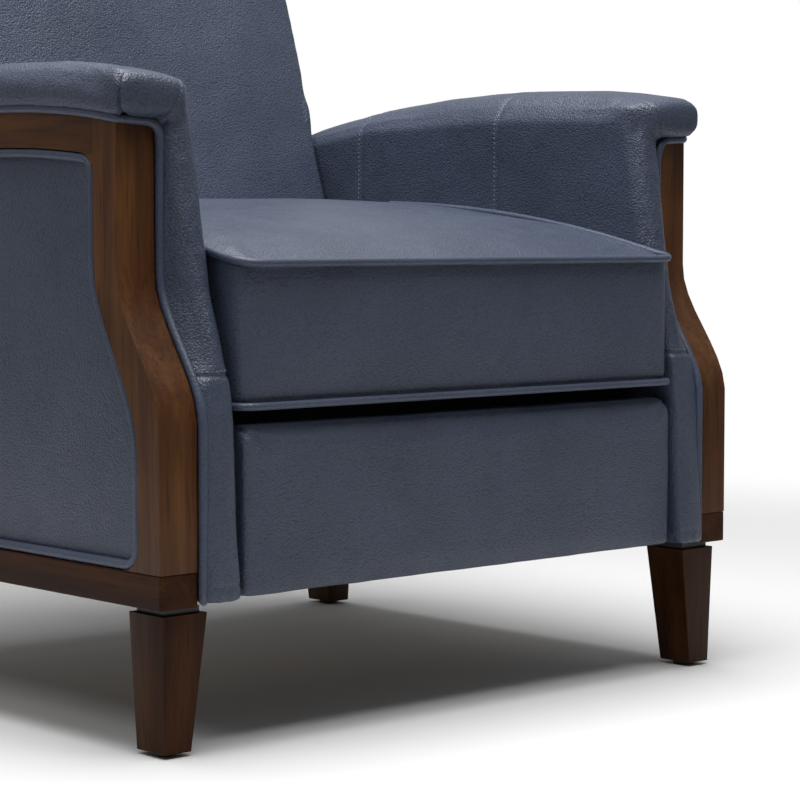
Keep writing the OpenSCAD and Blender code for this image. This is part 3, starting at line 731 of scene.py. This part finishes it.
moved(arm_cover, arm_dressed)
arm_tree = surface_of(arm_cover)
arm_cover_right = mirrored(arm_cover, "arm_cover_right")
finished(arm_cover, "arm_cover_left", "base", ["arm_pad_left", "arm_cap_left", "arm_front_left"])
finished(arm_cover_right, "arm_cover_right", "base",
         ["arm_pad_right", "arm_cap_right", "arm_front_right"])

stitches = bmesh.new()
for seam in SEAM_Y:
    y = seam + STITCH_SHIFT
    peak = cap_top(y)
    line = smooth_line([at(ARM_IN - 2, y, 430), at(ARM_IN - 2, y, 500),
                        at(ARM_IN - 2, y, peak - 42), at(ARM_IN + 8, y, peak - 14),
                        at(ARM_IN + 30, y, peak), at(340, y, peak + 2),
                        at(366, y, peak), at(380, y, peak - 14)], 3)
    stitch_row(stitches, arm_tree, line)
seam_line = [at(x, y, SEAM_Z + 4) for x, y in ((ARM_IN + 1, 40), (ARM_IN + 1, 14), (ARM_IN + 7, 2),
                                               (304, -1), (316, 4), (325, 12))]
stitch_row(stitches, arm_tree, smooth_line(seam_line, 3))
stitch_left = loose(stitches, "arm_stitches_left")
stitch_right = mirrored(stitch_left, "arm_stitches_right")
for obj in (stitch_left, stitch_right):
    finished(obj, obj.name, "base", (), thread)


# welts on the arms: along the top rail, over the post head and down its inner edge
rail_line = [at(HALF_W + 0.5, REAR_END - 4 - k * 34, rail_top(REAR_END - 4 - k * 34) + 2.5)
             for k in range(17)]
head_line = [at(HALF_W - 1, 60, rail_top(60) + 2), at(HALF_W - 7, 56.5, rail_top(60) + 1.5),
             at(350, 56, rail_top(60) + 0.5), at(335, 56, rail_top(60) - 1),
             at(327, 56, rail_top(60) - 8)]
post_line = [at(325, post_front(z) - 2.5, z) for z in range(530, 136, -14)]
welt_pair("arm_welt", smooth_line(rail_line + head_line + post_line + [at(325, -1, 137)]), 4.1, "base")

# ---- outer side panels ----
side_cover = remeshed(loose(merged_copy("side_panel_left"), "side_cover_left"), 5.0)
offset(side_cover, -2.5)


def side_held(v):
    x, y, z = abs(v.co.x) / MM, (v.co.y - POST_FACE) / MM, v.co.z / MM
    if x < HALF_W - 10:
        return 1.0
    edge = min(y - post_back(z), REAR_END - 40 - y, z - RAIL_TOP, rail_low(y) - z)
    return 1.0 if edge < 9 else 0.0


inflated(side_cover, 2.2, 9, side_held, stiffness=18, frames=16)
settled(side_cover, 2)
subdivided(side_cover)
moved(side_cover, lambda place, normal: normal * (ripple(place, 80, 0.7, 11)))
side_cover_right = mirrored(side_cover, "side_cover_right")
finished(side_cover, "side_cover_left", "base", ["side_panel_left"])
finished(side_cover_right, "side_cover_right", "base", ["side_panel_right"])

inset = 4.6
ring = []
for k in range(26):
    z = RAIL_TOP + PANEL_R + (rail_low(95) - 2 * PANEL_R - RAIL_TOP) * k / 25
    ring.append((post_back(z) + inset, z))
for k in range(1, 7):
    a = k / 6 * math.pi / 2
    r = PANEL_R - inset
    ring.append((95 + PANEL_R - r * math.cos(a), rail_low(117) - PANEL_R + r * math.sin(a)))
for k in range(1, 20):
    y = 117 + (REAR_END - 40 - inset - 117) * k / 19
    ring.append((y, rail_low(y) - inset))
for k in range(1, 14):
    z = rail_low(600) - inset + (RAIL_TOP + 2 * inset - rail_low(600)) * k / 13
    ring.append((REAR_END - 40 - inset, z))
for k in range(1, 19):
    y = REAR_END - 40 - inset + (32 + PANEL_R - REAR_END + 40 + inset) * k / 18
    ring.append((y, RAIL_TOP + inset))
for k in range(1, 6):
    a = k / 6 * math.pi / 2
    r = PANEL_R - inset
    ring.append((32 + PANEL_R - r * math.sin(a), RAIL_TOP + PANEL_R - r * math.cos(a)))
side_line = [at(HALF_W - 4, y, z) for y, z in ring]
side_welt = tube_mesh("side_welt_left", side_line, 4.4, closed=True)
side_welt_right = mirrored(side_welt, "side_welt_right")
for obj in (side_welt, side_welt_right):
    finished(obj, obj.name, "base", (), welt_leather_painted_highlight)

# ---- seat ----
SEAT_HALF = ARM_IN - 3
SEAT_CORNER = 18          # radius of the seat's front corners, seen from above


def corner_steps(half, radius):
    """Stations from one side to the other, close together round both corners, with how far
    round the corner each one is, from 0 to 1."""
    turns = [1, 0.985, 0.94, 0.87, 0.75, 0.6, 0.4, 0.2]
    side = [(half - radius * (1 - t), t) for t in turns]
    middle = [(half - radius) * k / 6 for k in range(6, -1, -1)]
    right = side + [(x, 0) for x in middle]
    return [(-x, t) for x, t in right] + [(x, t) for x, t in reversed(right[:-1])]


def seam_height(y):
    """Where the top panel of the seat is sewn to its border."""
    return seat_top(y) - 2 * ease((y - SEAT_FRONT_Y) / 30)


def seat_section(x, t):
    pull, drop = dome(t, SEAT_CORNER), dome(t, 6)
    front = SEAT_FRONT_Y + pull
    points = [(500, 304), (300, 303), (120, 303), (front + 14, 303.5), (front + 4, 305.5), (front, 310)]
    points += [(front - 0.6 * math.sin(math.pi * k / 8), lerp(310, 428, k / 8)) for k in range(1, 9)]
    points += [(front + 0.8, 431), (front + 3, 433)]
    for k in range(1, 27):
        y = lerp(front + 3, 531, (k / 26) ** 1.15)
        puff = 6.0 * ease((y - front) / 30) * (1 - ease((y - 60) / 200))
        sunk = drop * ease((y - SEAT_FRONT_Y) / 30)
        points.append((y, seat_top(y) - sunk + puff * (1 - t)))
    points += [(523, 455), (515, 400), (508, 350)]
    return [at(x, y, z) for y, z in points]


seat_shape = bmesh.new()
loft(seat_shape, [seat_section(x, t) for x, t in corner_steps(SEAT_HALF, SEAT_CORNER)])
seat_cover = remeshed(loose(seat_shape, "seat_cover"), 6.0)
offset(seat_cover, -2.5)
settled(seat_cover, 1)


def seat_held(v):
    x, y, z = abs(v.co.x) / MM, (v.co.y - POST_FACE) / MM, v.co.z / MM
    if z < 312 or y > 480 or (x > SEAT_HALF - 10 and z < seam_height(y) + 4):
        return 1.0
    if y < 5 and 422 < z < 438:
        return 1.0
    return 0.0


inflated(seat_cover, 4.0, 5, seat_held, stiffness=15, frames=18)
settled(seat_cover, 1)
subdivided(seat_cover)
moved(seat_cover, lambda place, normal: normal * (ripple(place, 90, 1.0, 5)
                                                  + ripple(place, 30, 0.3, 9)))
finished(seat_cover, "seat_cover", "seat", ["seat_cushion"])


def corner_line(half, front, radius, heights, rear):
    """A welt's line round the front of a cushion: along one side, round both corners."""
    side = [(half, lerp(rear, front + radius + 8, k / 8)) for k in range(9)]
    for k in range(7):
        a = k / 6 * math.pi / 2
        side.append((half - radius + radius * math.cos(a), front + radius - radius * math.sin(a)))
    side += [((half - radius) * k / 5, front) for k in range(4, -1, -1)]
    return ([at(x, y, heights(y)) for x, y in side]
            + [at(-x, y, heights(y)) for x, y in reversed(side[:-1])])


top_line = corner_line(SEAT_HALF - 1, -6.5, SEAT_CORNER, lambda y: seam_height(y) - 1, 430)
low_line = corner_line(SEAT_HALF - 1, -6, SEAT_CORNER, lambda y: 304.5, 90)
welt("seat_top_welt", smooth_line(top_line), 3.9, "seat")
welt("seat_low_welt", smooth_line(low_line), 3.6, "seat")

# a black sheet in front of the seat frame: painted shade, so no bare wood shows in the gap above the
# footrest
shade_sheet_shape = bmesh.new()
bmesh.ops.create_cube(shade_sheet_shape, size=1)
shade_sheet_low, shade_sheet_high = at(-260, 56.5, 279), at(260, 58.5, 302.5)
for v in shade_sheet_shape.verts:
    v.co = Vector([lo if c < 0 else hi for c, lo, hi in zip(v.co, shade_sheet_low, shade_sheet_high)])
piece(shade_sheet_shape, "seat_front_shade_sheet", painted_shade_cloth, "seat", 30)

# ---- footrest ----
FOOT_HALF = SEAT_HALF - 2


def foot_section(x, t):
    front = -6 + dome(t, 6)
    top, low = 289 - dome(t, 10), 135 + dome(t, 2)
    points = [(24, top), (24, lerp(top, low, 0.5)), (24, low), (front + 18, low), (front + 5, low),
              (front + 1.5, low + 1.5), (front, low + 6)]
    points += [(front, lerp(low + 6, top - 16, k / 8)) for k in range(1, 9)]
    for k in range(1, 8):
        a = k / 7 * math.pi / 2
        points.append((front + 14 * (1 - math.cos(a)), top - 16 + 16 * math.sin(a)))
    return [at(x, y, z) for y, z in points]


foot_shape = bmesh.new()
loft(foot_shape, [foot_section(x, t) for x, t in corner_steps(FOOT_HALF, 12)])
foot_cover = remeshed(loose(foot_shape, "footrest_cover"), 4.4)
offset(foot_cover, -1.2)


def foot_held(v):
    x, y, z = abs(v.co.x) / MM, (v.co.y - POST_FACE) / MM, v.co.z / MM
    return 1.0 if y > 12 or x > FOOT_HALF - 7 or z < 141 else 0.0


inflated(foot_cover, 3.0, 2.5, foot_held, stiffness=20, frames=14)
settled(foot_cover, 1)
subdivided(foot_cover)


def foot_dressed(place, normal):
    """The gathered pleat at each upper corner, and a little slack in the hide."""
    push = ripple(place, 70, 0.7, 15) + ripple(place, 26, 0.3, 19)
    side = FOOT_HALF - abs(place.x)
    if side < 34 and place.z > 258:
        push -= 1.8 * groove((289 - place.z) - side * 0.8 - 1, 2.6) * ease((34 - side) / 20)
    return normal * push


moved(foot_cover, foot_dressed)
finished(foot_cover, "footrest_cover", "footrest", ["footrest_pad"])

# ---- back ----
def back_half(s, top):
    """Half the width of the back at s along it: a little wider above the arms."""
    upper, corner = ARM_IN, 55
    wide = lerp(ARM_IN - 3, upper, ease((s - 125) / 30))
    over = s - (top - corner)
    return wide if over <= 0 else wide - dome(min(1, over / corner), corner)


def back_section(s):
    half = back_half(s, BACK_TOP)
    rise = max(0, s - (BACK_TOP - 28)) / 28
    front = 0.5 + dome(min(1, rise), 28) + 8 * max(0, 1 - (s - BACK_LOW) / 10)
    rear = 88
    r = 8
    points = [(half - r - (half - r) * 2 * k / 12, front) for k in range(1, 12)]
    points = [(x, front - 1.5 * (1 - (x / half) ** 2)) for x, _ in points]
    for k in range(5):
        a = math.pi / 2 + k / 4 * math.pi / 2
        points.append((-half + r + r * math.cos(a), front + r - r * math.sin(a)))
    points += [(-half, lerp(front + r, rear, k / 6)) for k in range(1, 7)]
    points += [(lerp(-half, half, k / 10), rear) for k in range(1, 10)]
    points += [(half, lerp(rear, front + r, k / 6)) for k in range(6)]
    for k in range(5):
        a = k / 4 * math.pi / 2
        points.append((half - r + r * math.cos(a), front + r - r * math.sin(a)))
    return [on_back(x, n, s) for x, n in points]


back_shape = bmesh.new()
back_steps = [BACK_LOW + 0.5, BACK_LOW + 3, BACK_LOW + 8]
back_steps += [lerp(BACK_LOW + 20, BACK_TOP - 57, k / 26) for k in range(27)]
back_steps += [BACK_TOP - 55 * (1 - t) for t in (0.2, 0.4, 0.6, 0.75, 0.87, 0.94, 0.98, 1)]
loft(back_shape, [back_section(s) for s in back_steps])
back_cover = remeshed(loose(back_shape, "back_cover"), 6.5)
offset(back_cover, -1.5)


def back_place(co):
    """Where a point is on the back: across, through and up it, in mm."""
    place = co - on_back(0, 0, 0)
    return (co.x / MM, (place.y * math.cos(LEAN) - place.z * math.sin(LEAN)) / MM,
            (place.y * math.sin(LEAN) + place.z * math.cos(LEAN)) / MM)


def back_held(v):
    x, n, s = back_place(v.co)
    return 1.0 if n > 60 or abs(x) > back_half(s, BACK_TOP) - 11 or s < BACK_LOW + 12 else 0.0


inflated(back_cover, 4.0, 7, back_held, stiffness=15, frames=18)
settled(back_cover, 1)
subdivided(back_cover)


def back_dressed(place, normal):
    co = at(*place)
    x, n, s = back_place(co)
    push = ripple(place, 110, 1.4, 25) + ripple(place, 40, 0.4, 29)
    if 2 < n < 80:
        push += 5 * groove(s - 112, 22) * groove(n - 14, 14)
    return normal * push


moved(back_cover, back_dressed)
finished(back_cover, "back_cover", "back", ["back_cushion"])

shell_cover = remeshed(loose(merged_copy("back_shell"), "back_shell_cover"), 6.0)
offset(shell_cover, -0.3)
settled(shell_cover, 1)
subdivided(shell_cover)
moved(shell_cover, lambda place, normal: normal * (ripple(place, 120, 0.8, 35)))
finished(shell_cover, "back_shell_cover", "back", ["back_shell"])


def back_ring(n, grow, top):
    """The outline of the back at depth n, moved out by grow mm, and kept in between the arms."""
    stations = [lerp(BACK_LOW + 4, top - 56, k / 26) for k in range(27)]
    stations += [top - 55 * (1 - t) for t in (0.2, 0.4, 0.6, 0.75, 0.87, 0.95)]
    half = [(back_half(s, top) + grow - 7 * (1 - ease((s - 135) / 45)), s) for s in stations]
    end = half[-1][0]
    half += [(end * 0.8, top), (end * 0.5, top), (0, top)]
    full = half + [(-x, s) for x, s in reversed(half[:-1])]
    return [on_back(x, n, s) for x, s in full]


welt("back_front_welt", smooth_line(back_ring(87, -1, BACK_TOP - 1)), 4.0, "back")
welt("back_rear_welt", smooth_line(back_ring(131, -3, BACK_TOP - 10)), 4.0, "back")

# ---- finishes of the parts that keep their own shape ----
# the black cloth on the footrest board and the arm cores is painted shade: it keeps those gaps dark
own_finish = {
    "leg_plates": black_steel, "leg_glides": nylon, "channel_screws": zinc, "seat_webbing": webbing,
    "torque_tube": black_steel, "link_tube": black_steel, "footrest_board": painted_shade_cloth,
    "footrest_brackets": black_steel, "cross_rail_middle": pine, "cross_rail_rear": wood_cross_painted_shade,
    "seat_rail_front": pine, "seat_rail_rear": pine, "back_rail_top": pine, "back_rail_bottom": pine,
}
for side in ("left", "right"):
    own_finish["arm_core_" + side] = painted_shade_cloth
    own_finish["slide_channel_" + side] = black_steel
    own_finish["slide_runner_" + side] = zinc
    own_finish["side_plate_" + side] = black_steel
    own_finish["seat_rail_" + side] = plywood
    own_finish["back_stile_" + side] = plywood
    own_finish["back_bracket_" + side] = black_steel
    for link in ("rear_link_", "idler_link_", "front_link_"):
        own_finish[link + side] = black_steel
for node, finish in own_finish.items():
    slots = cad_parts[node].material_slots
    for place in slots:
        place.material = finish

# ---- floor, light and camera ----
floor_shape = bmesh.new()
bmesh.ops.create_circle(floor_shape, cap_ends=True, segments=64, radius=5)
floor = loose(floor_shape, "floor")
floor_finish, floor_tree, floor_shader, floor_coords = start("pale_floor")
floor_shader.inputs["Base Color"].default_value = linear("#d8d8d8")
floor_shader.inputs["Roughness"].default_value = 0.9
floor_shader.inputs["Specular IOR Level"].default_value = 0.1
reach = add(floor_tree, "ShaderNodeVectorMath", {"operation": "LENGTH"}, {0: floor_coords})
fade = add(floor_tree, "ShaderNodeMapRange", {"interpolation_type": "SMOOTHSTEP", "From Min": 1.0,
           "From Max": 2.2, "To Min": 1.0, "To Max": 0.0}, {"Value": reach.outputs["Value"]})
floor_tree.links.new(fade.outputs["Result"], floor_shader.inputs["Alpha"])
floor.data.materials.append(floor_finish)

# a studio that is white to look at, bright above and behind the chair and dim in front of it
world = bpy.data.worlds.new("studio")
world.use_nodes = True
sky = world.node_tree
backdrop = sky.nodes["Background"]
aim = add(sky, "ShaderNodeTexCoord").outputs["Generated"]
toward = add(sky, "ShaderNodeVectorMath", {"operation": "DOT_PRODUCT", 1: (0.52, 0.62, 0.59)}, {0: aim})
glow = add(sky, "ShaderNodeMapRange", {"interpolation_type": "SMOOTHSTEP", "From Min": -0.2,
           "From Max": 0.9, "To Min": 0.11, "To Max": 0.4}, {"Value": toward.outputs["Value"]})
path = add(sky, "ShaderNodeLightPath")
seen = add(sky, "ShaderNodeMath", {"operation": "MAXIMUM"},
           {0: glow.outputs["Result"], 1: path.outputs["Is Camera Ray"]})
backdrop.inputs["Color"].default_value = linear("#ffffff")
sky.links.new(seen.outputs[0], backdrop.inputs["Strength"])
bpy.context.scene.world = world


def softbox(name, place, aim, width, height, power):
    light = bpy.data.lights.new(name, "AREA")
    light.shape = "RECTANGLE"
    light.size, light.size_y = width, height
    light.energy = power
    obj = bpy.data.objects.new(name, light)
    bpy.context.scene.collection.objects.link(obj)
    obj.location = place
    obj.rotation_euler = (aim - place).to_track_quat("-Z", "Y").to_euler()
    return obj


softbox("overhead", at(-150, 200, 2700), at(-50, 150, 0), 2.0, 1.7, 102)
softbox("side_fill", at(-1900, 250, 2200), at(250, 250, 450), 1.2, 1.0, 11)
softbox("front_edge", at(-300, -1000, 2500), at(-50, 0, 350), 1.2, 0.4, 17)

AZIMUTH, PITCH = math.radians(42.17), math.radians(3.92)
camera_data = bpy.data.cameras.new("camera")
camera_data.lens = 110.85
camera_data.clip_end = 60
camera = bpy.data.objects.new("camera", camera_data)
bpy.context.scene.collection.objects.link(camera)
camera.location = at(-1624.16, -1690.93, 458.51)
looking = Vector((math.cos(PITCH) * math.sin(AZIMUTH), math.cos(PITCH) * math.cos(AZIMUTH),
                  -math.sin(PITCH)))
camera.rotation_euler = looking.to_track_quat("-Z", "Y").to_euler()
bpy.context.scene.camera = camera
bpy.context.scene.view_settings.view_transform = "Standard"
